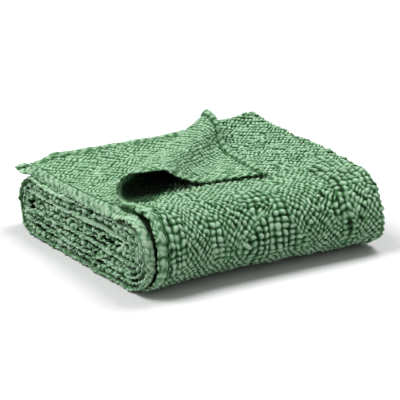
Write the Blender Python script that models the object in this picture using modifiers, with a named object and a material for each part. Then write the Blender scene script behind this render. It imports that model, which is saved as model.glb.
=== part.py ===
"""Waffle weave cotton blanket, folded in four, rolled flat, with one corner turned back.

Metres, +Z up. X runs along the roll, with the loose hems at -X. The rolled bends face -Y (front) and +Y.
The cloth is one sheet: its width is folded into four plies, and the folded strip is wound into a flat roll
that starts at its heart and ends in the top pass. The outermost ply's loose corner is turned back over
that pass in a soft loop.
"""
import math
from collections import namedtuple

import bmesh
import bpy

# The cloth
SHEET = 0.0026            # thickness of the sheet
PLY_PITCH = 0.0057        # spacing of the plies in the folded strip
PLIES = 4
STRIP = PLIES * PLY_PITCH  # thickness of the folded strip

# The roll
ROLL_LENGTH = 0.450       # along X, one ply wide
ROLL_DEPTH = 0.448        # front to back
TURNS = 3                 # bends at the front
TOP_OVERHANG = 0.051      # how far the top pass runs over the back bends
HEART_GAP = 0.010         # the inner end stops short of the back bends by this
FRONT_Z = TURNS * STRIP   # height of the front bends' centre
BACK_Z = (TURNS - 0.5) * STRIP
FRONT_Y = -ROLL_DEPTH / 2 + TURNS * STRIP
BACK_Y = ROLL_DEPTH / 2 - (TURNS - 0.5) * STRIP
ROLL_HEIGHT = 2 * FRONT_Z

# How the roll has settled
BACK_SINK_LEFT, BACK_SINK_RIGHT = 0.235, 0.160   # share of the height lost at the back
FRONT_SAG = 0.012         # drop of the front bends' middle
SHOULDER_DROP = 0.009     # drop of the top front edge at +X
BACK_HUMP = 0.006         # soft rise of the top near the back edge, left of the middle
HUMP_X, HUMP_WIDTH = -0.060, 0.120
TIP_DROOP = 0.008         # the top pass droops by this at its back corner at -X
GAPE = 0.0045             # how far the outermost ply stands off at its loose hem, at the front

# How it has been pulled about: each soft curve has a value at its start, one that draws its middle, and one
# at its end. The top's heights run front to back at the left end, in the middle and at the right end.
TOP_HEIGHTS = ((0.004, -0.007, 0.022), (-0.004, -0.009, -0.007), (-0.001, 0.003, 0.018))
RIGHT_REACH = (0.007, 0.021, 0.019)     # the end at +X, front to back
LEFT_LOW = (0.009, -0.021, 0.006)       # the foot of the end at -X, front to back
LEFT_HIGH = (0.010, 0.007, 0.007)       # the top of the end at -X, front to back
FRONT_TUCK = (0.014, 0.043, 0.014)      # the foot of the front, from -X to +X

# Loose hems at -X
OUTER_SETBACK = 0.0073    # the outermost ply's hem lies inside the next one's
SECOND_TIP = 0.008        # the second ply's corner sticks out here
LOWER_SPREAD = 0.014      # the lower passes spread to -X towards the back

# The turned-back corner
CREASE_X, CREASE_Y = -0.2037, -0.1032            # the crease starts at the hem here
CREASE_ANGLE = math.radians(41.2)
CREASE_LENGTH = 0.465
LOOP_HEM, LOOP_MIDDLE, LOOP_END = 0.0198, 0.0205, 0.0191   # radius of the loop along the crease
RUN_HEM, RUN_END = 0.0355, 0.001                 # flat stretch on top of the loop
LAND_TOP = 0.028          # radius where the corner starts to fall
LAND_HEM, LAND_END = 0.83, 1.15                  # steepness of the fall, radians
LAND_GAP = 0.0055         # the landed corner's height over the ply below

# Mesh steps
PLY_STEPS = (3, 3, 3, 3)  # from the outermost ply inwards along the cloth
WIDE_FOLD_STEPS, TIGHT_FOLD_STEPS = 3, 2
PASS_STEPS = (8, 1, 4, 1, 3, 1)  # top and bottom pass of each turn, from the outer end
BEND_STEPS = (7, 5, 4, 3, 3)     # from the outermost bend to the heart
CREASE_CUTS = 14          # extra edges laid along the crease
CREASE_REACH = 0.215      # how far past the crease they go
SNAP = 0.002              # a cut this close to a grid point goes through it
TOLERANCE = 1e-6

Stretch = namedtuple("Stretch", "kind length start heading y z radius")


def smooth(t):
    """Soft step from 0 to 1."""
    t = min(max(t, 0.0), 1.0)
    return t * t * (3 - 2 * t)


def blend(a, b, t):
    return a + (b - a) * t


def soft_curve(values, t):
    """Goes from the first of three values to the last, drawn towards the middle one."""
    first, middle, last = values
    return first * (1 - t) ** 2 + 2 * middle * t * (1 - t) + last * t ** 2


def stations(lengths, steps):
    """Evenly spaced places in each of a row of lengths, laid end to end."""
    places, start = [0.0], 0.0
    for length, count in zip(lengths, steps):
        places += [start + length * (i + 1) / count for i in range(count)]
        start += length
    return places


# ---------------------------------------------------------------- the roll, seen from its end

def roll_stretches():
    """Passes and bends of the strip's middle, from the outer end to the heart."""
    stretches = []
    start_y = BACK_Y + TOP_OVERHANG
    for turn in range(TURNS):
        front_radius = (TURNS - turn - 0.5) * STRIP
        back_radius = (TURNS - turn - 1) * STRIP
        last = turn == TURNS - 1
        end_y = BACK_Y - HEART_GAP if last else BACK_Y
        stretches.append(Stretch("pass", start_y - FRONT_Y, start_y, -1, 0, FRONT_Z + front_radius, 0))
        stretches.append(Stretch("bend", math.pi * front_radius, 0, -1, FRONT_Y, FRONT_Z, front_radius))
        stretches.append(Stretch("pass", end_y - FRONT_Y, FRONT_Y, 1, 0, FRONT_Z - front_radius, 0))
        if not last:
            stretches.append(Stretch("bend", math.pi * back_radius, 0, 1, BACK_Y, BACK_Z, back_radius))
        start_y = BACK_Y
    return stretches


STRETCHES = roll_stretches()
STRIP_LENGTH = sum(stretch.length for stretch in STRETCHES)


def roll_point(s, n):
    """Y and Z of a point s along the strip from its outer end and n outward of its middle."""
    for stretch in STRETCHES:
        if s <= stretch.length or stretch is STRETCHES[-1]:
            break
        s -= stretch.length
    if stretch.kind == "pass":
        return stretch.start + stretch.heading * s, stretch.z - stretch.heading * n
    angle = s / stretch.radius
    reach = stretch.radius + n
    return (stretch.y + stretch.heading * reach * math.sin(angle),
            stretch.z - stretch.heading * reach * math.cos(angle))


def roll_rows():
    """Distances along the strip at which the mesh has a row."""
    bend_steps = iter(BEND_STEPS)
    pass_steps = iter(PASS_STEPS)
    steps = [next(pass_steps if stretch.kind == "pass" else bend_steps) for stretch in STRETCHES]
    return stations([stretch.length for stretch in STRETCHES], steps)


# ---------------------------------------------------------------- the four plies, seen from the front

OUTER_RUN = ROLL_LENGTH - 2 * PLY_PITCH          # the straight part of each ply
HEM_X = -ROLL_LENGTH / 2
FOLD_X = HEM_X + OUTER_RUN                       # centre of the folds at +X
LEFT_FOLD_X = HEM_X + PLY_PITCH                  # centre of the fold at -X

PlyStretch = namedtuple("PlyStretch", "kind length x heading n radius")
PLY_STRETCHES = (
    PlyStretch("ply", FOLD_X - HEM_X, HEM_X, 1, 1.5 * PLY_PITCH, 0),
    PlyStretch("fold", 1.5 * math.pi * PLY_PITCH, FOLD_X, 1, 0, 1.5 * PLY_PITCH),
    PlyStretch("ply", FOLD_X - LEFT_FOLD_X, FOLD_X, -1, -1.5 * PLY_PITCH, 0),
    PlyStretch("fold", 0.5 * math.pi * PLY_PITCH, LEFT_FOLD_X, -1, -PLY_PITCH, -0.5 * PLY_PITCH),
    PlyStretch("ply", FOLD_X - LEFT_FOLD_X, LEFT_FOLD_X, 1, -0.5 * PLY_PITCH, 0),
    PlyStretch("fold", 0.5 * math.pi * PLY_PITCH, FOLD_X, 1, 0, -0.5 * PLY_PITCH),
    PlyStretch("ply", FOLD_X - HEM_X, FOLD_X, -1, 0.5 * PLY_PITCH, 0),
)
CLOTH_WIDTH = sum(stretch.length for stretch in PLY_STRETCHES)
LOOSE_PLY = PLY_STRETCHES[0].length
SECOND_PLY = CLOTH_WIDTH - PLY_STRETCHES[-1].length


def ply_point(r):
    """X and height n of a point r across the cloth from the outermost hem."""
    for stretch in PLY_STRETCHES:
        if r <= stretch.length + TOLERANCE or stretch is PLY_STRETCHES[-1]:
            break
        r -= stretch.length
    if stretch.kind == "ply":
        return stretch.x + stretch.heading * r, stretch.n
    angle = r / abs(stretch.radius)
    return (stretch.x + stretch.heading * abs(stretch.radius) * math.sin(angle),
            stretch.n + stretch.radius * math.cos(angle))


def ply_columns():
    """Distances across the cloth at which the mesh has a column."""
    ply_steps = iter(PLY_STEPS)
    fold_steps = iter((WIDE_FOLD_STEPS, TIGHT_FOLD_STEPS, TIGHT_FOLD_STEPS))
    steps = [next(ply_steps if stretch.kind == "ply" else fold_steps) for stretch in PLY_STRETCHES]
    return stations([stretch.length for stretch in PLY_STRETCHES], steps)


# ---------------------------------------------------------------- the turned-back corner

CREASE_ALONG = (math.cos(CREASE_ANGLE), math.sin(CREASE_ANGLE))
CREASE_ACROSS = (-CREASE_ALONG[1], CREASE_ALONG[0])
OUTER_END_Y = BACK_Y + TOP_OVERHANG


def crease_coordinates(x, y):
    """Distance along the crease, and beyond it towards the loose corner, in the flat top pass."""
    dx, dy = x - CREASE_X, y - CREASE_Y
    return (dx * CREASE_ALONG[0] + dy * CREASE_ALONG[1],
            dx * CREASE_ACROSS[0] + dy * CREASE_ACROSS[1])


def loop_sizes(along):
    """Loop radius, flat run and steepness of the fall at a place along the crease."""
    t = min(max(along / CREASE_LENGTH, 0.0), 1.0)
    radius = (LOOP_HEM * (1 - t) * (1 - 2 * t) + 4 * LOOP_MIDDLE * t * (1 - t) + LOOP_END * t * (2 * t - 1))
    return radius, blend(RUN_HEM, RUN_END, t), blend(LAND_HEM, LAND_END, t)


def corner_profile(beyond, along):
    """Offset past the crease and rise of the corner, a distance beyond the crease in the cloth."""
    radius, run, fall = loop_sizes(along)
    landing = (2 * radius - LAND_GAP) / (1 - math.cos(fall)) - LAND_TOP
    d = beyond
    if d <= math.pi * radius:
        return radius * math.sin(d / radius), radius * (1 - math.cos(d / radius))
    d -= math.pi * radius
    if d <= run:
        return -d, 2 * radius
    d -= run
    if d <= LAND_TOP * fall:
        angle = d / LAND_TOP
        return -run - LAND_TOP * math.sin(angle), 2 * radius - LAND_TOP * (1 - math.cos(angle))
    d -= LAND_TOP * fall
    landed = -run - (LAND_TOP + landing) * math.sin(fall)
    if d <= landing * fall:
        angle = fall - d / landing
        return landed + landing * math.sin(angle), LAND_GAP + landing * (1 - math.cos(angle))
    return landed - (d - landing * fall), LAND_GAP


def turned_corner(x, s):
    """New x, new s and rise of a point of the outermost ply."""
    y = OUTER_END_Y - s
    along, beyond = crease_coordinates(x, y)
    if beyond <= 0 or s > OUTER_END_Y - CREASE_Y + STRIP:
        return x, s, 0.0
    offset, rise = corner_profile(beyond, along)
    new_x = CREASE_X + along * CREASE_ALONG[0] + offset * CREASE_ACROSS[0]
    new_y = CREASE_Y + along * CREASE_ALONG[1] + offset * CREASE_ACROSS[1]
    return new_x, OUTER_END_Y - new_y, rise


# ---------------------------------------------------------------- how it all has settled

def settled(x, y, z):
    """Place after the roll has sunk, sagged and been pulled about; the lowest ply stays level."""
    along, deep = (x - HEM_X) / ROLL_LENGTH, (y + ROLL_DEPTH / 2) / ROLL_DEPTH
    lift = z - (0.5 * STRIP - 1.5 * PLY_PITCH)
    share = min(max(lift / ROLL_HEIGHT, 0.0), 1.0)
    right = smooth(along)
    back = smooth((y + ROLL_DEPTH / 2 - 0.070) / (ROLL_DEPTH - 0.110))
    front = 1 - smooth(deep / 0.45)
    hump = math.exp(-((x - HUMP_X) / HUMP_WIDTH) ** 2) * smooth((y - 0.02) / 0.16)
    tip = smooth((-0.165 - x) / 0.055) * smooth((y - 0.165) / 0.050) * share ** 3
    height = SHEET / 2 + lift * (1 - blend(BACK_SINK_LEFT, BACK_SINK_RIGHT, right) * back)
    height -= front * (FRONT_SAG * math.sin(math.pi * share) + SHOULDER_DROP * right * share)
    height += BACK_HUMP * hump * share ** 2 - TIP_DROOP * tip
    height += share * soft_curve([soft_curve(heights, deep) for heights in TOP_HEIGHTS], along)
    reach = along ** 2 * soft_curve(RIGHT_REACH, deep)
    reach += (1 - along) ** 2 * blend(soft_curve(LEFT_LOW, deep), soft_curve(LEFT_HIGH, deep), share)
    tuck = (1 - deep) ** 2 * (1 - share) ** 2 * soft_curve(FRONT_TUCK, along)
    return x + reach, y + tuck, height


def hem_shift(x, s, ply):
    """How far the loose ends at -X wander from a straight line."""
    reach = smooth((0.12 - (x - HEM_X)) / 0.12)
    on_top = s < STRETCHES[0].length
    y = roll_point(s, 0.0)[0]
    toward_back = smooth((y + 0.10) / 0.30)
    if ply == "outer":
        shift = OUTER_SETBACK + 0.002 * math.sin(s / 0.045)
    elif ply == "second" and on_top:
        shift = 0.002 * math.sin(s / 0.060) - SECOND_TIP * smooth((y - 0.15) / 0.06)
    else:
        shift = 0.002 * math.sin(s / 0.038 + 1.0)
    if not on_top:
        shift -= LOWER_SPREAD * toward_back
    return shift * reach


def gape(x, s):
    """Extra height of the outermost ply over the front bend, at its loose hem."""
    first_bend = STRETCHES[0].length
    through = (s - first_bend + 0.05) / (STRETCHES[1].length + 0.05)
    return GAPE * math.sin(math.pi * min(max(through, 0.0), 1.0)) * smooth((0.15 - (x - HEM_X)) / 0.15)


def cloth_point(r, s):
    """Place in space of the flat cloth's point: r from the outermost hem, s from the outer end."""
    x, n = ply_point(r)
    ply = "outer" if r <= LOOSE_PLY else "second" if r >= SECOND_PLY else "inner"
    x += hem_shift(x, s, ply)
    rise = 0.0
    if ply == "outer":
        n += gape(x, s)
        x, s, rise = turned_corner(x, s)
    y, z = roll_point(s, n)
    x, y, z = settled(x, y, z)
    return x, y, z + rise


# ---------------------------------------------------------------- the sheet

def flat_cloth():
    """The flat cloth as a grid, with extra edges scored along the crease."""
    rows, columns = roll_rows(), ply_columns()
    mesh = bmesh.new()
    bmesh.ops.create_grid(mesh, x_segments=len(columns) - 1, y_segments=len(rows) - 1, size=1.0)
    for vert in mesh.verts:
        column = round((vert.co.x + 1) / 2 * (len(columns) - 1))
        row = round((vert.co.y + 1) / 2 * (len(rows) - 1))
        vert.co = (columns[column], rows[row], 0.0)
    score_crease(mesh)
    return mesh


def score_crease(mesh):
    """Edges parallel to the crease, close together where the corner bends."""
    for cut in range(CREASE_CUTS):
        beyond = CREASE_REACH * cut / (CREASE_CUTS - 1)
        x = CREASE_X + beyond * CREASE_ACROSS[0]
        y = CREASE_Y + beyond * CREASE_ACROSS[1]
        corner = [face for face in mesh.faces
                  if face.calc_center_median().x < LOOSE_PLY
                  and face.calc_center_median().y < STRETCHES[0].length]
        geometry = corner + list({edge for face in corner for edge in face.edges})
        geometry += list({vert for face in corner for vert in face.verts})
        bmesh.ops.bisect_plane(mesh, geom=geometry, dist=SNAP, plane_co=(x - HEM_X, OUTER_END_Y - y, 0),
                               plane_no=(CREASE_ACROSS[0], -CREASE_ACROSS[1], 0))


def centre_on_base(mesh):
    """Moves the cloth so that its box is centred on the origin in plan."""
    for axis in (0, 1):
        middle = (min(v.co[axis] for v in mesh.verts) + max(v.co[axis] for v in mesh.verts)) / 2
        for vert in mesh.verts:
            vert.co[axis] -= middle


def cotton():
    """Dyed, washed green cotton."""
    material = bpy.data.materials.new("waffle_cotton")
    material.use_nodes = True
    shader = material.node_tree.nodes["Principled BSDF"]
    shader.inputs["Base Color"].default_value = (0.22, 0.43, 0.26, 1.0)
    shader.inputs["Roughness"].default_value = 0.95
    shader.inputs["Metallic"].default_value = 0.0
    return material


def blanket(collection):
    """The whole blanket: one hemmed cloth, folded and rolled."""
    cloth = flat_cloth()
    for vert in cloth.verts:
        vert.co = cloth_point(vert.co.x, vert.co.y)
    centre_on_base(cloth)
    mesh = bpy.data.meshes.new("blanket")
    cloth.to_mesh(mesh)
    cloth.free()
    mesh.shade_smooth()
    mesh.materials.append(cotton())
    piece = bpy.data.objects.new("blanket", mesh)
    collection.objects.link(piece)
    thickness = piece.modifiers.new("thickness", "SOLIDIFY")
    thickness.thickness = SHEET
    thickness.offset = 0.0
    thickness.use_even_offset = True
    return piece


def main():
    for thing in list(bpy.data.objects):
        bpy.data.objects.remove(thing)
    collection = bpy.data.collections.new("waffle weave blanket")
    bpy.context.scene.collection.children.link(collection)
    blanket(collection)


main()
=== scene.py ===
import math
from collections import namedtuple

import bpy
import numpy as np
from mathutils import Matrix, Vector


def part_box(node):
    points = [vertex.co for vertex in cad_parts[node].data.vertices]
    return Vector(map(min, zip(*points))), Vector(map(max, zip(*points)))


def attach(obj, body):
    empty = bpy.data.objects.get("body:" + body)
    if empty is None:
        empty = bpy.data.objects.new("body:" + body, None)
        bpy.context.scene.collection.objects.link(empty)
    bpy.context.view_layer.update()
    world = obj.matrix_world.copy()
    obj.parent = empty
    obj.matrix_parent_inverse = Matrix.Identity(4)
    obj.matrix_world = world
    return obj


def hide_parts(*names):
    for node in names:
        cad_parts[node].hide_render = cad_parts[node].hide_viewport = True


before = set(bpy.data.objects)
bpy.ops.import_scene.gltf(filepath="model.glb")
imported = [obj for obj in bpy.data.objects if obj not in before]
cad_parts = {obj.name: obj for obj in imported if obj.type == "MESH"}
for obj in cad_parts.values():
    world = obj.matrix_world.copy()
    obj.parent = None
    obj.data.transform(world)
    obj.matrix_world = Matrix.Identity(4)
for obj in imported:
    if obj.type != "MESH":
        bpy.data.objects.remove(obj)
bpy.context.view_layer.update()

# ------------------------------------------------------------------ the outermost ply
# One length of washed waffle weave cotton is folded in four and rolled flat. This is its first panel where
# it lies over the top and front of the roll: hemmed at -X and at its end by turning the edge over once and
# stitching it down, with its loose corner turned back in a soft loop.

PLY_PITCH = 0.0057                 # spacing of the plies
STRIP = 4 * PLY_PITCH              # the folded strip is four plies thick
ROLL_LENGTH, ROLL_DEPTH = 0.450, 0.448
TURNS = 3                          # each a pass over the top and one under it
TOP_OVERHANG = 0.051               # the top pass runs over the back bends
HEART_GAP = 0.010                  # the inner end stops short of them
FRONT_Z, BACK_Z = TURNS * STRIP, (TURNS - 0.5) * STRIP
FRONT_Y = -ROLL_DEPTH / 2 + TURNS * STRIP
BACK_Y = ROLL_DEPTH / 2 - (TURNS - 0.5) * STRIP
HEM_X = -ROLL_LENGTH / 2
FOLD_X = HEM_X + ROLL_LENGTH - 2 * PLY_PITCH
LEFT_FOLD_X = HEM_X + PLY_PITCH
END_Y = BACK_Y + TOP_OVERHANG
SOLID_SHEET = 0.0026               # the solid's own thickness

Stretch = namedtuple("Stretch", "kind length start heading y z radius")
PlyStretch = namedtuple("PlyStretch", "kind length x heading n radius")


def smooth(t):
    """Soft step from 0 to 1."""
    t = np.clip(t, 0.0, 1.0)
    return t * t * (3 - 2 * t)


def roll_stretches():
    """Passes and bends of the strip's middle, from the outer end to the heart."""
    stretches = []
    start_y = END_Y
    for turn in range(TURNS):
        front_radius = (TURNS - turn - 0.5) * STRIP
        back_radius = (TURNS - turn - 1) * STRIP
        last = turn == TURNS - 1
        end_y = BACK_Y - HEART_GAP if last else BACK_Y
        stretches.append(Stretch("pass", start_y - FRONT_Y, start_y, -1, 0, FRONT_Z + front_radius, 0))
        stretches.append(Stretch("bend", math.pi * front_radius, 0, -1, FRONT_Y, FRONT_Z, front_radius))
        stretches.append(Stretch("pass", end_y - FRONT_Y, FRONT_Y, 1, 0, FRONT_Z - front_radius, 0))
        if not last:
            stretches.append(Stretch("bend", math.pi * back_radius, 0, 1, BACK_Y, BACK_Z, back_radius))
        start_y = BACK_Y
    return stretches


ROLL = roll_stretches()
STRIP_LENGTH = sum(stretch.length for stretch in ROLL)
PLIES = (
    PlyStretch("ply", FOLD_X - HEM_X, HEM_X, 1, 1.5 * PLY_PITCH, 0),
    PlyStretch("fold", 1.5 * math.pi * PLY_PITCH, FOLD_X, 1, 0, 1.5 * PLY_PITCH),
    PlyStretch("ply", FOLD_X - LEFT_FOLD_X, FOLD_X, -1, -1.5 * PLY_PITCH, 0),
    PlyStretch("fold", 0.5 * math.pi * PLY_PITCH, LEFT_FOLD_X, -1, -PLY_PITCH, -0.5 * PLY_PITCH),
    PlyStretch("ply", FOLD_X - LEFT_FOLD_X, LEFT_FOLD_X, 1, -0.5 * PLY_PITCH, 0),
    PlyStretch("fold", 0.5 * math.pi * PLY_PITCH, FOLD_X, 1, 0, -0.5 * PLY_PITCH),
    PlyStretch("ply", FOLD_X - HEM_X, FOLD_X, -1, 0.5 * PLY_PITCH, 0),
)
PLY_STARTS = np.concatenate([[0.0], np.cumsum([ply.length for ply in PLIES])])
CLOTH_WIDTH = PLY_STARTS[-1]
LOOSE_PLY, SECOND_PLY = PLY_STARTS[1], PLY_STARTS[6]


def roll_point(s, n):
    """Y and Z of points s along the strip from its outer end and n outward of its middle."""
    y, z = np.zeros_like(s), np.zeros_like(s)
    start = 0.0
    for number, stretch in enumerate(ROLL):
        here = s >= start if number else np.full(s.shape, True)
        d, reach = s[here] - start, stretch.radius + n[here]
        if stretch.kind == "pass":
            y[here] = stretch.start + stretch.heading * d
            z[here] = stretch.z - stretch.heading * n[here]
        else:
            y[here] = stretch.y + stretch.heading * reach * np.sin(d / stretch.radius)
            z[here] = stretch.z - stretch.heading * reach * np.cos(d / stretch.radius)
        start += stretch.length
    return y, z


def ply_point(r):
    """X and height n of points r across the cloth from the outermost hem."""
    x, n = np.zeros_like(r), np.zeros_like(r)
    for number, (ply, start) in enumerate(zip(PLIES, PLY_STARTS)):
        here = r >= start if number else np.full(r.shape, True)
        d, radius = r[here] - start, abs(ply.radius)
        if ply.kind == "ply":
            x[here], n[here] = ply.x + ply.heading * d, ply.n
        else:
            x[here] = ply.x + ply.heading * radius * np.sin(d / radius)
            n[here] = ply.n + ply.radius * np.cos(d / radius)
    return x, n


TOP_LENGTH, BEND_LENGTH = ROLL[0].length, ROLL[1].length     # the first pass and the front bend
CREASE_X, CREASE_Y = -0.2037, -0.1032            # the corner's crease starts at the hem here
CREASE_ANGLE = math.radians(41.2)
CREASE_LENGTH = 0.465
LOOP_HEM, LOOP_MIDDLE, LOOP_END = 0.0198, 0.0205, 0.0191     # radius of the loop along the crease
RUN_HEM, RUN_END = 0.0355, 0.001                 # after the loop the corner runs level this far
LAND_TOP = 0.028                                 # radius of the bend in which it starts to fall
LAND_HEM, LAND_END = 0.83, 1.15                  # how steeply it falls, in radians
LAND_GAP = 0.0055                                # how far above the ply below it lands
ALONG_X, ALONG_Y = math.cos(CREASE_ANGLE), math.sin(CREASE_ANGLE)


def past_crease(x, s):
    """Distances along and beyond the crease; beyond is negative where the cloth stays flat."""
    dx, dy = x - CREASE_X, END_Y - s - CREASE_Y
    beyond = -dx * ALONG_Y + dy * ALONG_X
    return dx * ALONG_X + dy * ALONG_Y, np.where(s > END_Y - CREASE_Y + STRIP, -1.0, beyond)


def corner_profile(along, d):
    """Offset past the crease and rise of the turned-back corner."""
    t = np.clip(along / CREASE_LENGTH, 0, 1)
    radius = LOOP_HEM * (1 - t) * (1 - 2 * t) + 4 * LOOP_MIDDLE * t * (1 - t) + LOOP_END * t * (2 * t - 1)
    run, fall = RUN_HEM + (RUN_END - RUN_HEM) * t, LAND_HEM + (LAND_END - LAND_HEM) * t
    landing = (2 * radius - LAND_GAP) / (1 - np.cos(fall)) - LAND_TOP
    loop = np.clip(d / radius, 0, math.pi)
    flat = np.clip(d - math.pi * radius, 0, run)
    falling = np.clip((d - math.pi * radius - run) / LAND_TOP, 0, fall)
    rest = d - math.pi * radius - run - LAND_TOP * fall
    rising = fall - np.clip(rest / landing, 0, fall)
    landed = landing * (np.sin(fall) - np.sin(rising))
    offset = radius * np.sin(loop) - flat - LAND_TOP * np.sin(falling) - landed
    offset -= np.maximum(rest - landing * fall, 0)
    rise = radius * (1 - np.cos(loop)) - LAND_TOP * (1 - np.cos(falling))
    rise -= np.where(rest > 0, landing * (np.cos(rising) - np.cos(fall)), 0)
    return offset, rise


def turned_corner(x, s, outer):
    """New x, new s and rise of the outermost ply's points."""
    along, beyond = past_crease(x, s)
    turned = outer & (beyond > 0)
    offset, rise = corner_profile(along, np.maximum(beyond, 0))
    new_x = CREASE_X + along * ALONG_X - offset * ALONG_Y
    new_y = CREASE_Y + along * ALONG_Y + offset * ALONG_X
    return np.where(turned, new_x, x), np.where(turned, END_Y - new_y, s), np.where(turned, rise, 0)


BACK_SINK_LEFT, BACK_SINK_RIGHT = 0.235, 0.160   # share of its height that the roll has lost at its back
SINK_START, SINK_RUN = 0.070, ROLL_DEPTH - 0.110             # from this far behind the front
FRONT_SAG, SHOULDER_DROP = 0.012, 0.009
FRONT_SHARE = 0.45                               # share of the depth in which the front has sagged
BACK_HUMP, HUMP_X, HUMP_WIDTH = 0.006, -0.060, 0.120
HUMP_START, HUMP_RUN = 0.02, 0.16
TIP_DROOP, TIP_X, TIP_Y = 0.022, -0.165, 0.165   # the back left tip droops beyond this place
TIP_RUN_X, TIP_RUN_Y = 0.055, 0.050
TOP_LEFT, TOP_MIDDLE, TOP_RIGHT = (0.004, -0.007, 0.022), (-0.004, -0.009, -0.007), (-0.001, 0.003, 0.018)
RIGHT_REACH = (0.007, 0.021, 0.019)              # these, and those above, go from front to back
LEFT_LOW, LEFT_HIGH = (0.009, -0.021, 0.006), (0.010, 0.007, 0.007)
FRONT_TUCK = (0.014, 0.043, 0.014)               # from left to right


def blend(a, b, t):
    return a + (b - a) * t


def soft_curve(values, t):
    """Goes from the first of three values to the last, drawn towards the middle one."""
    first, middle, last = values
    return first * (1 - t) ** 2 + 2 * middle * t * (1 - t) + last * t ** 2


def settled(x, y, z):
    """Place after the roll has sunk, sagged and been pulled about."""
    along, deep = (x - HEM_X) / ROLL_LENGTH, (y + ROLL_DEPTH / 2) / ROLL_DEPTH
    lift = z - (0.5 * STRIP - 1.5 * PLY_PITCH)
    share = np.clip(lift / (2 * FRONT_Z), 0.0, 1.0)
    right = smooth(along)
    back = smooth((y + ROLL_DEPTH / 2 - SINK_START) / SINK_RUN)
    front = 1 - smooth(deep / FRONT_SHARE)
    hump = np.exp(-((x - HUMP_X) / HUMP_WIDTH) ** 2) * smooth((y - HUMP_START) / HUMP_RUN)
    tip = smooth((TIP_X - x) / TIP_RUN_X) * smooth((y - TIP_Y) / TIP_RUN_Y) * share ** 5
    height = SOLID_SHEET / 2 + lift * (1 - blend(BACK_SINK_LEFT, BACK_SINK_RIGHT, right) * back)
    height = height - front * (FRONT_SAG * np.sin(math.pi * share) + SHOULDER_DROP * right * share)
    height = height + BACK_HUMP * hump * share ** 2 - TIP_DROOP * tip
    uneven = soft_curve([soft_curve(heights, deep) for heights in (TOP_LEFT, TOP_MIDDLE, TOP_RIGHT)], along)
    height = height + share * uneven
    reach = along ** 2 * soft_curve(RIGHT_REACH, deep)
    reach = reach + (1 - along) ** 2 * blend(soft_curve(LEFT_LOW, deep), soft_curve(LEFT_HIGH, deep), share)
    tuck = (1 - deep) ** 2 * (1 - share) ** 2 * soft_curve(FRONT_TUCK, along)
    return x + reach, y + tuck, height


OUTER_SETBACK = 0.0073             # the outermost hem lies this far in from the roll's left end
CORNER_OUT, CORNER_START, CORNER_RUN = 0.008, 0.15, 0.06     # the second ply's corner sticks out at the back
LOWER_SPREAD, SPREAD_START, SPREAD_RUN = 0.014, -0.10, 0.30  # and so do the lower plies
FRONT_SETBACK, FRONT_REACH = 0.004, 0.008        # over the front bend the outer two plies draw apart by these
FRONT_EARLY, FRONT_RUN = 0.020, 0.040
HEM_WANDER = 0.002                 # how far each hem strays from a straight line
OUTER_WAVE, SECOND_WAVE, LOWER_WAVE = 0.045, 0.060, 0.038    # and how slowly
HEM_ZONE = 0.12                    # width of cloth that moves with its hem


def outer_hem(s):
    """How far in the outermost hem lies."""
    return OUTER_SETBACK + HEM_WANDER * np.sin(s / OUTER_WAVE)


def lower_hem(s):
    """How far in the hems and folds below it lie."""
    return HEM_WANDER * np.sin(s / LOWER_WAVE + 1.0)


def onto_front(s):
    """0 on the top, 1 once the cloth runs down over the front bend."""
    return smooth((s - TOP_LENGTH + FRONT_EARLY) / FRONT_RUN)


def hem_shift(x, s, outer, second):
    """How far the loose ends at -X wander from a straight line."""
    y = roll_point(s, np.zeros_like(s))[0]
    on_top = s < TOP_LENGTH
    second_hem = HEM_WANDER * np.sin(s / SECOND_WAVE) - CORNER_OUT * smooth((y - CORNER_START) / CORNER_RUN)
    shift = np.where(outer, outer_hem(s), np.where(second & on_top, second_hem, lower_hem(s)))
    shift = shift - np.where(on_top, 0, LOWER_SPREAD * smooth((y - SPREAD_START) / SPREAD_RUN))
    over_front = onto_front(s) * smooth((TOP_LENGTH + BEND_LENGTH - s) / FRONT_RUN)
    shift = shift + over_front * np.where(outer, FRONT_SETBACK, np.where(second, -FRONT_REACH, 0.0))
    return shift * smooth((HEM_ZONE - (x - HEM_X)) / HEM_ZONE)


GAPE, GAPE_ZONE = 0.0070, 0.15     # the outermost ply stands off the front bend by its hem
GAPE_EARLY = 0.05                  # and starts to do so this far before the bend


def gape(x, s):
    """Extra height of the outermost ply over the front bend, at its loose hem."""
    through = np.clip((s - TOP_LENGTH + GAPE_EARLY) / (BEND_LENGTH + GAPE_EARLY), 0, 1)
    return GAPE * np.sin(math.pi * through) * smooth((GAPE_ZONE - (x - HEM_X)) / GAPE_ZONE)


LATTICE = (61, 67)         # cells before a random grid repeats


def lattice(i, j, seed):
    """A fixed random number from 0 to 1 for each cell of a grid."""
    table = np.random.default_rng(seed).uniform(0, 1, LATTICE)
    return table[np.mod(i, LATTICE[0]).astype(int), np.mod(j, LATTICE[1]).astype(int)]


def drift(u, v, size, seed):
    """Smooth random field from -1 to 1, with swells of the given size."""
    x, y = u / size, v / size
    i, j = np.floor(x), np.floor(y)
    fx, fy = smooth(x - i), smooth(y - j)
    low = lattice(i, j, seed) * (1 - fx) + lattice(i + 1, j, seed) * fx
    high = lattice(i, j + 1, seed) * (1 - fx) + lattice(i + 1, j + 1, seed) * fx
    return 2 * (low * (1 - fy) + high * fy) - 1


TUCK, TUCK_IN, TUCK_WIDTH = 0.0040, 0.005, 0.0055     # deepest just inside the outermost hem
TUCK_EARLY, TUCK_RUN = 0.056, 0.012                   # it starts this far before the front bend


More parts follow.
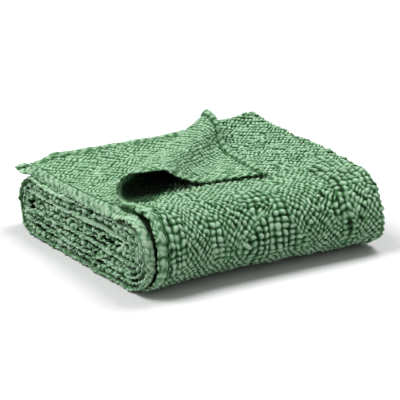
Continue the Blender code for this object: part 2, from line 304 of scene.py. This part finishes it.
def tucked_under(r, s):
    """How far the second ply sinks under the outermost ply's hem, over the front bend."""
    edge = outer_hem(s) - lower_hem(s) + (FRONT_SETBACK + FRONT_REACH) * onto_front(s)
    beside = np.exp(-((CLOTH_WIDTH - r - edge - TUCK_IN) / TUCK_WIDTH) ** 2) * (r > SECOND_PLY)
    return TUCK * beside * smooth((s - TOP_LENGTH + TUCK_EARLY) / TUCK_RUN)


HANG, HANG_BEND = 0.020, 0.005     # the second ply's hem hangs this far over the left of the top
HANG_ANGLE = 1.42                  # and so steeply, in radians, but less at its corner
HANG_CORNER, HANG_CORNER_RUN = 0.30, 0.055
HANG_LATE, HANG_RUN = 0.045, 0.160               # it is straight again this far past the front bend's start
HANG_OUT, HANG_OUT_ZONE, HANG_OUT_RUN = 0.0145, 0.150, 0.130    # the ply lies further out to hang


def hanging_hem(x, n, r, s):
    """X and height of the second ply's points, once its hem has bent down over the left of the top."""
    on_top = smooth((TOP_LENGTH + HANG_LATE - s) / HANG_RUN)
    past = np.maximum(r - CLOTH_WIDTH + HANG, 0)
    steepest = HANG_ANGLE * on_top * (HANG_CORNER + (1 - HANG_CORNER) * smooth(s / HANG_CORNER_RUN))
    angle = np.minimum(past / HANG_BEND, steepest)
    straight = past - angle * HANG_BEND
    inward = past - HANG_BEND * np.sin(angle) - straight * np.cos(angle)
    lean = HANG_OUT * on_top * smooth((r - CLOTH_WIDTH + HANG_OUT_ZONE) / HANG_OUT_RUN)
    return x + inward - lean, n - HANG_BEND * (1 - np.cos(angle)) - straight * np.sin(angle)


END_CRINKLE = 0.028                # the cloth is crinkled this far in from both ends of the roll
OUTER_LEFT, SECOND_LEFT, INNER_LEFT = 0.30, 0.60, 1.00       # how crinkled each ply is at the left end
OUTER_RIGHT, INNER_RIGHT = 0.18, 0.45            # and at the right end
CRINKLE_OUT, CRINKLE_UP = 0.0042, 0.0034


def folded_cloth(r, s):
    """Where the flat cloth's points lie once it is folded and rolled, with no weave."""
    outer, second = r <= LOOSE_PLY, r >= SECOND_PLY
    x, n = ply_point(r)
    left, right = smooth(1 - (x - HEM_X) / END_CRINKLE), smooth(1 - (FOLD_X - x) / END_CRINKLE)
    crinkled = left * np.where(outer, OUTER_LEFT, np.where(second, SECOND_LEFT, INNER_LEFT))
    crinkled = crinkled + right * np.where(outer, OUTER_RIGHT, INNER_RIGHT)
    x = x + hem_shift(x, s, outer, second) + CRINKLE_OUT * crinkled * drift(r, s, size=0.0060, seed=41)
    crinkled_up = CRINKLE_UP * crinkled * drift(r, s, size=0.0064, seed=42)
    n = n + np.where(outer, gape(x, s), 0) + crinkled_up - tucked_under(r, s)
    hung_x, hung_n = hanging_hem(x, n, r, s)
    x, n = np.where(second, hung_x, x), np.where(second, hung_n, n)
    x, s, rise = turned_corner(x, s, outer)
    x, y, z = settled(x, *roll_point(s, n))
    return np.stack([x, y, z + rise], axis=-1)


PLACES_ACROSS, PLACES_ALONG = 400, 800           # enough to find the cloth's box


def solid_offset():
    """What centres the cloth on the frame, as its solid is."""
    across, along = np.linspace(0, CLOTH_WIDTH, PLACES_ACROSS), np.linspace(0, STRIP_LENGTH, PLACES_ALONG)
    cloth = folded_cloth(*np.meshgrid(across, along, indexing="ij"))
    low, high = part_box("blanket")
    return np.array([(low[axis] + high[axis]) / 2 - (cloth[..., axis].min() + cloth[..., axis].max()) / 2
                     for axis in (0, 1)] + [0.0])


OFFSET = solid_offset()
HEM, END_HEM = 0.022, 0.014        # width turned over at the sides and at the ends
HEM_ROUND = 0.0013                 # half the thickness of the turned edge
HEM_ARC = math.pi * HEM_ROUND
HEM_CUT, END_CUT = HEM + HEM_ARC, END_HEM + HEM_ARC          # cloth beyond the finished edge
STITCHED = 0.004                   # width at the cut edge that the stitches press down
PRESSED = 0.75                     # and by this share of the edge's thickness
SMALL_STEP = 0.0008                # between the points that give the cloth's direction


def hem_turn(beyond, cut):
    """Inset from the finished edge and depth of cloth that runs beyond it and is turned over."""
    angle = np.clip(beyond / HEM_ROUND, 0, math.pi)
    sunk = smooth((beyond - cut + STITCHED) / STITCHED)
    depth = HEM_ROUND * (1 - np.cos(angle)) * (1 - PRESSED * sunk)
    return np.maximum(beyond - HEM_ARC, 0) - HEM_ROUND * np.sin(angle), depth


def normals(across, along):
    """Unit normals from the surface's two directions, on the cloth's face."""
    face = np.cross(across, along)
    return face / np.maximum(np.linalg.norm(face, axis=-1, keepdims=True), 1e-12)


def hemmed_cloth(r, s):
    """The folded cloth with its edges turned over to the back."""
    side_inset, side_depth = hem_turn(np.maximum(-r, r - CLOTH_WIDTH), HEM_CUT)
    end_inset, end_depth = hem_turn(np.maximum(-s, s - STRIP_LENGTH), END_CUT)
    at_r = np.where(r < 0, side_inset, np.where(r > CLOTH_WIDTH, CLOTH_WIDTH - side_inset, r))
    at_s = np.where(s < 0, end_inset, np.where(s > STRIP_LENGTH, STRIP_LENGTH - end_inset, s))
    across = folded_cloth(at_r + SMALL_STEP, at_s) - folded_cloth(at_r - SMALL_STEP, at_s)
    along = folded_cloth(at_r, at_s - SMALL_STEP) - folded_cloth(at_r, at_s + SMALL_STEP)
    depth = np.where((r < 0) | (r > CLOTH_WIDTH), side_depth, 0)
    depth = depth + np.where((s < 0) | (s > STRIP_LENGTH), end_depth, 0)
    return folded_cloth(at_r, at_s) - normals(across, along) * depth[..., None] + OFFSET


GROOVE, PIT = 0.17, 0.32           # widths in a net, as shares of its cell
GROOVE_RANGE, GROOVE_MISSING = 2.2, 0.25         # about one stretch of groove in nine is missing
PIT_LEAST, PIT_RANGE = 0.30, 0.70
SWELL_LEAST, SWELL_RANGE = 0.40, 1.20


def groove_strength(i, j, seed):
    """How deep each stretch of a groove is."""
    return np.maximum(GROOVE_RANGE * lattice(i, j, seed) - GROOVE_MISSING, 0)


def net(p, q, first, second, seed):
    """A net of grooves along whole numbers of p and q, with pits where they cross: its level, 0 in the pits
    to 1 between the grooves, and the swell of the pebbles between them."""
    i, j, cell_i, cell_j = np.floor(p + 0.5), np.floor(q + 0.5), np.floor(p), np.floor(q)
    along_p = first * groove_strength(i, cell_j, seed) * np.exp(-((p - i) / GROOVE) ** 2)
    along_q = second * groove_strength(cell_i, j, seed + 1) * np.exp(-((q - j) / GROOVE) ** 2)
    pit_deep = PIT_LEAST + PIT_RANGE * lattice(i, j, seed + 2)
    pit = pit_deep * np.exp(-((p - i) ** 2 + (q - j) ** 2) / PIT ** 2)
    level = (1 - np.clip(along_p, 0, 1)) * (1 - np.clip(along_q, 0, 1)) * (1 - pit)
    swell = np.abs(np.sin(math.pi * p) * np.sin(math.pi * q))
    return np.stack([level, swell * (SWELL_LEAST + SWELL_RANGE * lattice(cell_i, cell_j, seed + 3))])


DIAMOND = 0.110                    # repeat of the waffle's diamonds
DIAMOND_R, DIAMOND_S = 0.020, 0.035              # where on the cloth they fall
RING, LONG_RING = DIAMOND / 12, DIAMOND / 6      # spacing of the rings inside them, across each diagonal
RING_TURN = 0.012                  # width over which the rings change their way
PIT_ROW = 0.0112                   # pits in a row where the cloth has puffed up; rows lie half of this apart
COLUMN, COLUMN_ROW = 0.0126, 0.0092              # where the puffs are biggest they stand in columns
COLUMN_STRAY = 0.0034
BAND_PUFF = 0.0150                 # puffs along a hem
WEAVE_STRAY, THREAD_STRAY = 0.0028, 0.0022       # how far the weave is pulled about, in swells and in cells
RING_RELIEF, PIT_RELIEF, COLUMN_RELIEF = 0.0034, 0.0040, 0.0052
NET_SHARE, SWELL_SHARE = 0.45, 0.65              # of the relief, between a net's grooves and its pebbles
RING_GROOVES = (0.20, 0.62), (0.85, -0.60)       # strength in a quarter of a diamond, and change to the next
PIT_GROOVES, COLUMN_GROOVES, BAND_GROOVES = (0.26, 0.26), (0.52, 0.34), (0.10, 0.32)
LOW_PEBBLE, PEBBLE_GAIN, PEBBLE_FULL = 0.66, 0.34, 1.4       # level of a flat pebble, which the colour shows with painted shade, and rise to a full one
PUFF_START, PUFF_RUN = 0.250, 0.110              # towards the front the rings give way to puffs here
LOOSE_BAND, SECOND_BAND, OTHER_BAND = 1.0, 0.5, 0.2          # how clearly a hem has puffs of its own
BAND_EDGE, BAND_SHARE = 0.003, 0.6


def net_height(woven, relief):
    """Height in metres of a net's pebbles over its grooves."""
    return (np.array([NET_SHARE, SWELL_SHARE])[:, None, None] * relief * woven).sum(axis=0)


def puffed_up(r, s, v):
    """Above 0 where the rings give way to puffs, over the front and in patches on the top."""
    toward_front = smooth((v - PUFF_START) / PUFF_RUN) * 1.30 - 0.75
    return toward_front + 0.9 * drift(r, s, size=0.034, seed=9) + 0.35 * drift(r, s, size=0.013, seed=10)


def waffle(r, s):
    """The weave's level, 0 in its pits to 1 on its pebbles, which the colour turns into painted shade, and
    their height in metres.
    """
    u = np.where(r > SECOND_PLY, -r, r) + WEAVE_STRAY * drift(r, s, size=0.023, seed=3)
    u = u + THREAD_STRAY * drift(r, s, size=0.0085, seed=5)
    v = s + WEAVE_STRAY * drift(r, s, size=0.021, seed=4) + THREAD_STRAY * drift(r, s, size=0.0090, seed=6)
    du, dv = np.mod(u + DIAMOND_R, DIAMOND) - DIAMOND / 2, np.mod(v + DIAMOND_S, DIAMOND) - DIAMOND / 2
    side = smooth(0.5 + du * dv / RING_TURN ** 2)    # which way the rings run in this quarter of a diamond
    ring_grooves = [least + change * side for least, change in RING_GROOVES]
    rings = net((du + dv) / RING, (du - dv) / LONG_RING, *ring_grooves, seed=11)
    rows = net((u + v) / PIT_ROW, (u - v) / PIT_ROW, *PIT_GROOVES, seed=21)
    wandering = u + COLUMN_STRAY * drift(r, s, size=0.030, seed=7)
    columns = net(wandering / COLUMN, v / COLUMN_ROW, *COLUMN_GROOVES, seed=31)
    levels = [level * (LOW_PEBBLE + PEBBLE_GAIN * np.minimum(swell * PEBBLE_FULL, 1))
              for level, swell in (rings, rows, columns)]
    reliefs = ((rings, RING_RELIEF), (rows, PIT_RELIEF), (columns, COLUMN_RELIEF))
    heights = [net_height(woven, relief) for woven, relief in reliefs]
    coarse = smooth(0.5 + puffed_up(r, s, v) / 0.16)
    stacked = smooth(0.5 + drift(r, s, size=0.042, seed=13) / 0.30)
    level, height = [blend(ringed, blend(rowed, column, stacked), coarse)
                     for ringed, rowed, column in (levels, heights)]

    side_edge, end_edge = np.minimum(r, CLOTH_WIDTH - r), np.minimum(s, STRIP_LENGTH - s)
    edge = np.minimum(side_edge, end_edge)
    on_loose_hem = (r > 0) & (r < HEM) & (s > r)
    clear = np.where(on_loose_hem, LOOSE_BAND, np.where(r > SECOND_PLY, SECOND_BAND, OTHER_BAND))
    band = smooth((HEM - edge) / BAND_EDGE) * clear * BAND_SHARE
    puffs = net(edge / HEM, np.where(side_edge < end_edge, v, u) / BAND_PUFF, *BAND_GROOVES, seed=41)
    level = blend(level, puffs[0] * 0.9 + 0.1, band)
    height = blend(height, net_height(puffs, COLUMN_RELIEF), band)
    return level, height * (0.85 + 0.30 * drift(r, s, size=0.017, seed=12))


Trough = namedtuple("Trough", "r s angle length width depth")
TROUGHS = (                # creases laid in one by one, in the flat cloth; a negative depth is a ridge
    Trough(0.150, 0.395, 12, 0.090, 0.010, 0.0022),
    Trough(0.270, 0.450, -20, 0.080, 0.012, 0.0020),
    Trough(0.060, 0.470, 70, 0.070, 0.009, 0.0020),
    Trough(0.360, 0.330, 35, 0.080, 0.012, -0.0018),
    Trough(0.330, 0.160, -40, 0.070, 0.010, 0.0018),
    Trough(0.130, 0.120, 55, 0.080, 0.011, 0.0022),
)


CRINKLE_LARGE, CRINKLE_SMALL = 0.0009, 0.0006


def crinkle(r, s):
    """Slow unevenness of washed cloth, in metres."""
    height = CRINKLE_LARGE * drift(r, s, size=0.034, seed=31)
    height = height + CRINKLE_SMALL * drift(r, s, size=0.015, seed=32)
    for trough in TROUGHS:
        turn = math.radians(trough.angle)
        du, dv = r - trough.r, s - trough.s
        lengthwise = (du * math.cos(turn) + dv * math.sin(turn)) / trough.length
        sideways = (dv * math.cos(turn) - du * math.sin(turn)) / trough.width
        height = height - trough.depth * np.exp(-lengthwise ** 2 * 2 - sideways ** 2 * 2)
    return height


SEAM_IN, SEAM_WIDTH = 0.002, 0.0019              # the stitches run this far from the cut edge
SEAM_DEEP, SEAM_BROKEN = 0.60, 0.40              # the ditch is deeper and shallower by turns
SECOND_DEEPER, PLAIN_END = 0.40, 0.35            # deeper on the second ply, but faint along its end


def hem_seam(r, s):
    """1 in the ditch along the stitches that hold the hem, 0 elsewhere."""
    edges = [(np.minimum(r, CLOTH_WIDTH - r), HEM), (np.minimum(s, STRIP_LENGTH - s), END_HEM)]
    insets = [np.where(edge < 0, -edge - HEM_ARC, edge) - width + SEAM_IN for edge, width in edges]
    ditch = np.exp(-(np.minimum(*np.abs(insets)) / SEAM_WIDTH) ** 2)
    second = r > SECOND_PLY
    plain_end = second & (insets[1] < insets[0])
    deep = SEAM_DEEP + SEAM_BROKEN * drift(r, s, size=0.007, seed=51)
    deep = np.where(plain_end, PLAIN_END * deep, np.where(second, deep + SECOND_DEEPER, deep))
    return np.clip(ditch * deep, 0, 1)


LOOP_BEFORE, LOOP_BEYOND, LOOP_ALONG = 0.050, 0.040, 0.34    # how far the shade reaches from the crease
LOOP_RIM = 0.010                                 # it starts this far in from the hem


def inside_loop(r, s):
    """1 deep inside the turned-back corner's loop, where hardly any light comes, 0 outside."""
    along, beyond = past_crease(ply_point(r)[0], s)
    near = smooth((beyond + LOOP_BEFORE) / 0.025) * smooth((LOOP_BEYOND - beyond) / 0.012)
    return near * smooth((LOOP_ALONG - along) / 0.20) * smooth((r - LOOP_RIM) / 0.016) * (r <= LOOSE_PLY)


SHADE_START, SHADE_RUN = 0.004, 0.007            # between the plies painted shade darkens the cloth from this far in from a fold
SHADE_RIGHT = 0.003                              # and sooner at the right end
SHADE_END = 0.010                                # this far in from a hemmed end


def deep_in_roll(r, s):
    """Painted shade: 1 between the plies, a little way in from their folds at the ends of the roll, 0 on the
    folds.
    """
    x = ply_point(r)[0]
    depth = np.minimum(x - HEM_X, FOLD_X - x + SHADE_RIGHT) - SHADE_START
    return smooth(depth / SHADE_RUN) * smooth((s - SHADE_END) / 0.020)


BACK_SHARE, HEM_SHARE = 0.75, 0.65               # relief of the back and the hems, next to the face's
BACK_SOFTER, HEM_SOFTER = 0.8, 0.4               # how far the painted shade in their grooves is paler
SOFT_LEAST, SOFT_RANGE = 0.26, 0.68              # levels of a back whose painted groove shade is quite pale
HEM_PALER = 0.12                                 # the last ply's turned-over hem is paler
TUCK_SHADE, LOOP_SHADE, DITCH_SHADE, ROLL_SHADE = 0.97, 0.75, 0.90, 0.85
DARK_TUCK = 0.0026                               # a ply that is tucked in by this much gets quite dark painted shade
FOLD_GAIN, FOLD_PALER = 1.05, 0.07               # painted light: the folds at the ends of the roll are painted paler
DITCH_DEPTH = 0.0008                             # how far the stitches pull the cloth in
CREASE_BLEND = 0.004                             # face turns to back this far to each side of the crease
FLOOR_GAP = 0.0002                               # the lowest threads stay this far above the floor


def woven_surface(r, s, back_shows, between_plies):
    """Places of the hemmed cloth with the waffle's relief, and the weave's level there, with painted shade
    and light in it.
    """
    place = hemmed_cloth(r, s)
    face = normals(np.gradient(place, axis=0), -np.gradient(place, axis=1))
    beyond = past_crease(ply_point(r)[0], s)[1]
    turned = smooth((beyond + CREASE_BLEND) / (2 * CREASE_BLEND)) * (r <= LOOSE_PLY)
    in_hem = (r < 0) | (r > CLOTH_WIDTH) | (s < 0) | (s > STRIP_LENGTH)
    back = np.maximum(turned, 1.0 if back_shows else 0.0)
    softer = np.where(in_hem, HEM_SOFTER, np.maximum(turned, BACK_SOFTER if back_shows else 0.0))
    level, height = waffle(r, s)
    ditch = hem_seam(r, s)

    level = blend(level, SOFT_LEAST + SOFT_RANGE * level, softer)
    # painted shade in the gap where the second ply tucks under the outermost ply's hem
    level = level * (1 - TUCK_SHADE * np.minimum(tucked_under(r, s) / DARK_TUCK, 1))
    # painted shade darkens the ditch along the stitches
    level = (level + HEM_PALER * (r > CLOTH_WIDTH)) * (1 - DITCH_SHADE * ditch)
    # painted shade deep inside the turned-back corner's loop
    level = level * (1 - LOOP_SHADE * inside_loop(r, s))
    # painted light makes the folds at the roll's ends paler, and painted shade darkens the cloth between the
    # plies
    if between_plies:
        level = (level * FOLD_GAIN + FOLD_PALER) * (1 - ROLL_SHADE * deep_in_roll(r, s))

    side = np.where(in_hem, HEM_SHARE, 1 - (1 + BACK_SHARE) * back)
    height = (height * (1 - ditch) - 0.5 * RING_RELIEF) * side
    height = height - DITCH_DEPTH * ditch * np.sign(side) + crinkle(r, s)
    place = place + face * height[..., None]
    place[..., 2] = np.maximum(place[..., 2], FLOOR_GAP)
    return place, level


def stations(*runs):
    """Places along the cloth: each run goes to an end in about equal steps."""
    places = [np.array([runs[0]])]
    for end, step in runs[1:]:
        start = places[-1][-1]
        count = max(1, round(abs(end - start) / step))
        places.append(start + (end - start) * np.arange(1, count + 1) / count)
    return np.concatenate(places)


def beyond_ends(places):
    """The stations with one more at each end."""
    return np.concatenate([[2 * places[0] - places[1]], places, [2 * places[-1] - places[-2]]])


def woven_piece(name, across, along, back_shows=False, between_plies=False):
    """A mesh of the hemmed cloth between its stations, with the waffle's relief."""
    r, s = np.meshgrid(beyond_ends(across), beyond_ends(along), indexing="ij")
    place, level = woven_surface(r, s, back_shows, between_plies)
    shading = normals(np.gradient(place, axis=0), -np.gradient(place, axis=1))
    r, s, level, place, shading = (values[1:-1, 1:-1] for values in (r, s, level, place, shading))

    count_r, count_s = r.shape
    corner = (np.arange(count_r - 1)[:, None] * count_s + np.arange(count_s - 1)[None, :]).ravel()
    quads = np.stack([corner, corner + 1, corner + count_s + 1, corner + count_s], axis=1)
    mesh = bpy.data.meshes.new(name)
    mesh.from_pydata(place.reshape(-1, 3), [], quads.tolist())
    layer = mesh.uv_layers.new(name="UVMap")
    width, length = float(across[-1] - across[0]), float(along[-1] - along[0])
    flat = np.stack([(r - across[0]) / width, (s - along[0]) / length], axis=-1)
    layer.data.foreach_set("uv", flat.reshape(-1, 2)[quads.ravel()].ravel())
    # the third value is the weave's level, with the painted shade and light that the colour shows
    weave = mesh.attributes.new("weave", "FLOAT_VECTOR", "POINT")
    weave.data.foreach_set("vector", np.stack([r, s, level], axis=-1).ravel())
    mesh.shade_smooth()
    mesh.normals_split_custom_set_from_vertices(shading.reshape(-1, 3).tolist())
    piece = bpy.data.objects.new(name, mesh)
    bpy.context.scene.collection.objects.link(piece)
    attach(piece, "root")
    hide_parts("blanket")
    piece.data.materials.append(COTTON)


class Tone:
    """A value in a material's nodes; sums and products of tones add their Math nodes."""

    def __init__(self, tree, socket=None):
        self.tree, self.socket = tree, socket

    def node(self, kind, settings, inputs, output=0):
        """Any node: its settings first, then the values or tones of its sockets."""
        made = self.tree.nodes.new("ShaderNode" + kind)
        for name, value in settings.items():
            setattr(made, name, value)
        for name, value in inputs.items():
            if isinstance(value, Tone):
                self.tree.links.new(value.socket, made.inputs[name])
            else:
                made.inputs[name].default_value = value
        return Tone(self.tree, made.outputs[output])

    def math(self, operation, first, second):
        return self.node("Math", {"operation": operation}, {0: first, 1: second})

    def __add__(self, other):
        return self.math("ADD", self, other)

    def __sub__(self, other):
        return self.math("SUBTRACT", self, other)

    def __rsub__(self, other):
        return self.math("SUBTRACT", other, self)

    def __mul__(self, other):
        return self.math("MULTIPLY", self, other)

    __radd__, __rmul__ = __add__, __mul__

    def mix(self, first, second):
        """A colour between two others, by this tone."""
        settings = {"data_type": "RGBA", "clamp_factor": True}
        return self.node("Mix", settings, {0: self, 6: first, 7: second}, 2)


# Painted shade: over the weave's level the colour goes from the cloth's own green on the pebbles through half
# shade to near black in the grooves
PAINTED_GROOVE_SHADE, PAINTED_HALF_SHADE, ON_PEBBLES = (0.001, 0.011, 0.002, 1), (0.046, 0.148, 0.051, 1), (0.318, 0.474, 0.326, 1)
PATCHES, SPECKS, THREADS = 28.0, 420.0, 130.0    # scales of the dye's patches, the lint and the threads
PATCH_SHARE, SPECK_SHARE = 0.30, 0.30            # and how far the first two change the colour
CONTRAST, MIDDLE = 1.18, 0.47                    # of the colour over the weave's levels


def washed_cotton():
    """Dyed green cotton: pale on the pebbles, with painted shade dark in the grooves, and fine threads."""
    material = bpy.data.materials.new("washed green cotton")
    material.use_nodes = True
    tree = material.node_tree
    shader = tree.nodes["Principled BSDF"]
    start = Tone(tree)
    weave = start.node("Attribute", {"attribute_name": "weave"}, {}, 1)
    relief = start.node("SeparateXYZ", {}, {0: weave}, 2)
    flat = start.node("VectorMath", {"operation": "MULTIPLY"}, {0: weave, 1: (1, 1, 0)})
    patches = start.node("TexNoise", {}, {"Vector": flat, "Scale": PATCHES, "Detail": 3.0})
    specks = start.node("TexNoise", {}, {"Vector": flat, "Scale": SPECKS, "Detail": 2.0})
    level = (relief - 0.5) * CONTRAST + MIDDLE + (patches - 0.5) * PATCH_SHARE + (specks - 0.5) * SPECK_SHARE
    # painted shade: low levels darken the green towards near black
    lower = (level * 2.0).mix(PAINTED_GROOVE_SHADE, PAINTED_HALF_SHADE)
    colour = (level * 2.0 - 1.0).mix(lower, ON_PEBBLES)
    tree.links.new(colour.socket, shader.inputs["Base Color"])
    shader.inputs["Roughness"].default_value = 0.93
    shader.inputs["Specular IOR Level"].default_value = 0.15
    shader.inputs["Sheen Weight"].default_value = 0.06
    shader.inputs["Sheen Roughness"].default_value = 0.5
    yarn = {"Vector": flat, "Scale": THREADS, "Distortion": 3.0}
    threads_across = start.node("TexWave", {"bands_direction": "X"}, yarn)
    threads_along = start.node("TexWave", {"bands_direction": "Y"}, yarn)
    thread = threads_across * 0.5 + threads_along * 0.5 + specks * 0.6
    bump = start.node("Bump", {}, {"Height": thread, "Strength": 0.35, "Distance": 0.0006})
    tree.links.new(bump.socket, shader.inputs["Normal"])
    return material


COTTON = washed_cotton()
BEND_END = TOP_LENGTH + BEND_LENGTH              # the front bend reaches the floor
FOLD_END = float(PLY_STARTS[2])                  # the fold at +X has come round
HEM_STEP, ROUND_STEP = 0.0024, 0.0011            # of the mesh, over a hem and round its edge
ACROSS_STEP, TOP_STEP, FRONT_STEP = 0.00138, 0.00145, 0.00130    # and where the weave shows best
OUTER_COLUMNS = stations(-HEM_CUT, (-HEM_ARC, HEM_STEP), (0, ROUND_STEP), (FOLD_END, ACROSS_STEP))
woven_piece("outer_ply_top", OUTER_COLUMNS,
            stations(-END_CUT, (-HEM_ARC, HEM_STEP), (0, ROUND_STEP), (TOP_LENGTH, TOP_STEP)))
woven_piece("outer_ply_front", OUTER_COLUMNS, stations(TOP_LENGTH, (BEND_END, FRONT_STEP)))

# ------------------------------------------------------------------ the outermost ply, under and behind
# The same panel where it runs on under the roll and up round its back: washed waffle cotton, held only by
# the weight of the roll that lies on it.

TURN_LAP = 0.050                   # the cloth runs on this far under the turn before it
BEHIND_END = BEND_END + ROLL[2].length + ROLL[3].length + TURN_LAP
woven_piece("outer_ply_behind", stations(-HEM_CUT, (-HEM_ARC, 0.004), (0, 0.0009), (FOLD_END, 0.0024)),
            stations(BEND_END, (BEHIND_END, 0.0024)))

# ------------------------------------------------------------------ the second ply
# The cloth's last panel, washed waffle cotton, whose back shows at the top left, under the turned-back
# corner. Its hem, turned over to that side and stitched down, hangs over the left of the top, and its corner
# sticks out at the back.

SEEN_ON_TOP, SEEN_ROUND = 0.375, 0.050           # width that shows, next to the hem
SECOND_HEM = CLOTH_WIDTH + HEM_ARC
SECOND_CUT = CLOTH_WIDTH + HEM_CUT
woven_piece("second_ply_top",
            stations(SECOND_PLY, (CLOTH_WIDTH - SEEN_ON_TOP, 0.012), (CLOTH_WIDTH, 0.0018),
                     (SECOND_HEM, ROUND_STEP), (SECOND_CUT, HEM_STEP)),
            stations(-END_CUT, (-HEM_ARC, HEM_STEP), (0, ROUND_STEP), (TOP_LENGTH, 0.0018)), back_shows=True)
woven_piece("second_ply_round",
            stations(SECOND_PLY, (CLOTH_WIDTH - SEEN_ROUND, 0.025), (CLOTH_WIDTH, 0.0017),
                     (SECOND_HEM, ROUND_STEP), (SECOND_CUT, HEM_STEP)),
            stations(TOP_LENGTH, (BEHIND_END, 0.0018)), back_shows=True)

# ------------------------------------------------------------------ the two inner plies
# The middle panels of the cloth, washed waffle cotton too, folded back and forth inside the outer two. Only
# their folds show, at both ends of the roll, and their hemmed ends at the back.

EDGE_ZONE = 0.030                  # close to its folds the cloth is crinkled and shows
INNER_ENDS = 0.016                 # and so do its hemmed ends
LEFT_FOLD, LEFT_FOLD_END, RIGHT_FOLD = (float(start) for start in PLY_STARTS[3:6])


def inner_columns(inside_step):
    """Stations across the two inner plies, close together at the folds."""
    return stations(FOLD_END, (FOLD_END + EDGE_ZONE, 0.006), (LEFT_FOLD - EDGE_ZONE, inside_step),
                    (LEFT_FOLD, 0.0025), (LEFT_FOLD_END, 0.0015), (LEFT_FOLD_END + EDGE_ZONE, 0.0025),
                    (RIGHT_FOLD - EDGE_ZONE, inside_step), (RIGHT_FOLD, 0.005), (SECOND_PLY, 0.0015))


woven_piece("inner_plies", inner_columns(inside_step=0.030),
            stations(INNER_ENDS, (BEHIND_END, 0.0024)), between_plies=True)
woven_piece("inner_ply_ends", inner_columns(inside_step=0.0036),
            stations(-END_CUT, (-HEM_ARC, 0.0024), (0, 0.0009), (INNER_ENDS, 0.0020)), between_plies=True)

# ------------------------------------------------------------------ the heart of the roll
# The rest of the folded strip, all four plies of washed waffle cotton, wound from its heart outwards. It
# shows only at the two ends of the roll, as nested folds and hems.

HEART_COLUMNS = stations(
    -HEM_CUT, (-HEM_ARC, 0.006), (0, 0.0012),                                    # the first hem
    (EDGE_ZONE, 0.0025), (LOOSE_PLY - EDGE_ZONE, 0.030), (LOOSE_PLY, 0.006),     # the outermost ply
    (FOLD_END, 0.0022), (FOLD_END + EDGE_ZONE, 0.008),                           # its fold at the right end
    (LEFT_FOLD - EDGE_ZONE, 0.030), (LEFT_FOLD, 0.0025),                         # the first inner ply
    (LEFT_FOLD_END, 0.0015), (LEFT_FOLD_END + EDGE_ZONE, 0.0025),                # its fold at the left end
    (RIGHT_FOLD - EDGE_ZONE, 0.030), (RIGHT_FOLD, 0.006),                        # the other inner ply
    (SECOND_PLY, 0.0015), (SECOND_PLY + EDGE_ZONE, 0.008),                       # its fold at the right end
    (CLOTH_WIDTH - EDGE_ZONE, 0.030), (CLOTH_WIDTH, 0.0025),                     # the last ply
    (SECOND_HEM, 0.0012), (SECOND_CUT, 0.006))                                   # and its hem
HEART_ROWS = stations(BEHIND_END, (STRIP_LENGTH, 0.0025), (STRIP_LENGTH + HEM_ARC, 0.0012),
                      (STRIP_LENGTH + END_CUT, 0.006))
woven_piece("roll_heart", HEART_COLUMNS, HEART_ROWS, between_plies=True)

# ------------------------------------------------------------------ floor, light and camera
# A plain white floor of matt paper under even studio light. Two soft lamps hang high on the left and the
# right, and the blanket is seen from its front left.

FLOOR_REACH = 12.0
PAPER_WHITE = (0.62, 0.62, 0.62, 1)
SURROUND = 0.45                    # brightness of the studio round it
floor_mesh = bpy.data.meshes.new("floor")
floor_corners = [(x * FLOOR_REACH, y * FLOOR_REACH, 0) for x, y in ((-1, -1), (1, -1), (1, 1), (-1, 1))]
floor_mesh.from_pydata(floor_corners, [], [(0, 1, 2, 3)])
floor = bpy.data.objects.new("floor", floor_mesh)
bpy.context.scene.collection.objects.link(floor)
paper = bpy.data.materials.new("white paper")
paper.use_nodes = True
paper.node_tree.nodes["Principled BSDF"].inputs["Base Color"].default_value = PAPER_WHITE
paper.node_tree.nodes["Principled BSDF"].inputs["Roughness"].default_value = 0.9
floor.data.materials.append(paper)

world = bpy.data.worlds.new("studio")
world.use_nodes = True
world.node_tree.nodes["Background"].inputs["Color"].default_value = (1, 1, 1, 1)
world.node_tree.nodes["Background"].inputs["Strength"].default_value = SURROUND
bpy.context.scene.world = world


def soft_light(name, place, size, power):
    """A square lamp that faces the blanket."""
    lamp = bpy.data.lights.new(name, "AREA")
    lamp.size, lamp.energy = size, power
    held = bpy.data.objects.new(name, lamp)
    held.location = place
    held.rotation_euler = (-Vector(place)).to_track_quat("-Z", "Y").to_euler()
    bpy.context.scene.collection.objects.link(held)


soft_light("left lamp", place=(-2.9, 0.7, 5.0), size=2.8, power=310)
soft_light("right lamp", place=(2.5, 0.7, 5.2), size=2.8, power=265)

VIEW_TURN, VIEW_HEIGHT = math.radians(-30.4), math.radians(19.6)
VIEW_DISTANCE = 4.0
FRAME_WIDTH = 0.676                # what the picture spans at the blanket
SENSOR = 36.0                      # millimetres, as is the lens
AIM = Vector((OFFSET[0], OFFSET[1], 0.0676))
camera_data = bpy.data.cameras.new("camera")
camera_data.sensor_width = SENSOR
camera_data.lens = SENSOR * VIEW_DISTANCE / FRAME_WIDTH
camera = bpy.data.objects.new("camera", camera_data)
toward_camera = Vector((math.sin(VIEW_TURN) * math.cos(VIEW_HEIGHT),
                        -math.cos(VIEW_TURN) * math.cos(VIEW_HEIGHT),
                        math.sin(VIEW_HEIGHT)))
camera.location = AIM + toward_camera * VIEW_DISTANCE
camera.rotation_euler = toward_camera.to_track_quat("Z", "Y").to_euler()
bpy.context.scene.collection.objects.link(camera)
bpy.context.scene.camera = camera
bpy.context.scene.view_settings.view_transform = "Standard"
